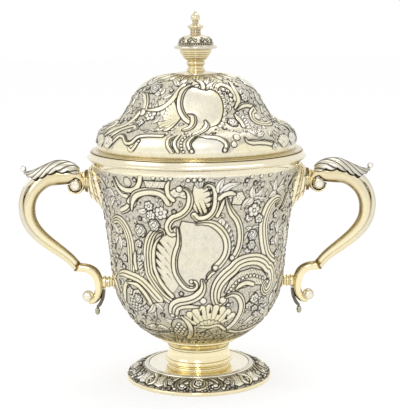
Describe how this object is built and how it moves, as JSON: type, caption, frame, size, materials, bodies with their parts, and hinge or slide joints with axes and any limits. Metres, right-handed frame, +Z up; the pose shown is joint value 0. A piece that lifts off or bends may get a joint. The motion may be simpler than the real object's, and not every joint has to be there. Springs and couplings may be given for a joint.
{
  "type": "two-handled cup with cover",
  "caption": "Silver-gilt cup with a loose cover, on a stem and a round foot, chased with scrolls and flowers, with leaf-capped scroll handles.",
  "frame": {"origin": "on the table under the middle of the foot", "axes": "+Z up along the axis of the cup, +X towards one handle, -Y towards the chased front"},
  "size_m": [0.322, 0.1958, 0.331],
  "materials": {
    "gilt": "polished silver-gilt",
    "chased_gilt": "chased and matted silver-gilt",
    "chased_silver": "cast and chased silver, worn gilding",
    "plain_silver": "plain silver"
  },
  "bodies": {
    "cup": {"foot_wire": "gilt", "foot_border": "chased_silver", "foot_inner_wire": "chased_silver", "foot_dish": "gilt", "stem_collar": "gilt", "stem_knop": "gilt", "stem_neck": "gilt", "bowl_calyx": "gilt", "bowl": "chased_gilt", "bowl_lip": "gilt", "right_handle_plate": "gilt", "right_handle_collar": "gilt", "right_handle_scroll": "gilt", "right_handle_boss": "gilt", "right_handle_strap": "gilt", "right_handle_leaf": "chased_silver", "right_handle_lower_scroll": "gilt", "right_handle_socket": "gilt", "right_handle_tail": "chased_silver", "left_handle_plate": "gilt", "left_handle_collar": "gilt", "left_handle_scroll": "gilt", "left_handle_boss": "gilt", "left_handle_strap": "gilt", "left_handle_leaf": "chased_silver", "left_handle_lower_scroll": "gilt", "left_handle_socket": "gilt", "left_handle_tail": "chased_silver"},
    "cover_ring": {"cover_bezel": "gilt"},
    "cover": {"cover_flange": "gilt", "cover_dome": "chased_gilt", "finial_base": "gilt", "finial_vase": "gilt", "finial_plate": "gilt", "finial_dome": "chased_gilt", "finial_spool": "gilt", "finial_button": "gilt", "finial_bud": "gilt", "finial_stud": "plain_silver", "finial_washer": "plain_silver", "finial_nut": "plain_silver"}
  },
  "joints": [
    {"name": "cover_lift", "type": "slide", "parent": "cup", "child": "cover_ring", "axis": [0, 0, 1], "range_m": [0, 0.14]},
    {"name": "cover_turn", "type": "hinge", "parent": "cover_ring", "child": "cover", "pos_m": [0, 0, 0.2], "axis": [0, 0, 1], "continuous": true}
  ]
}
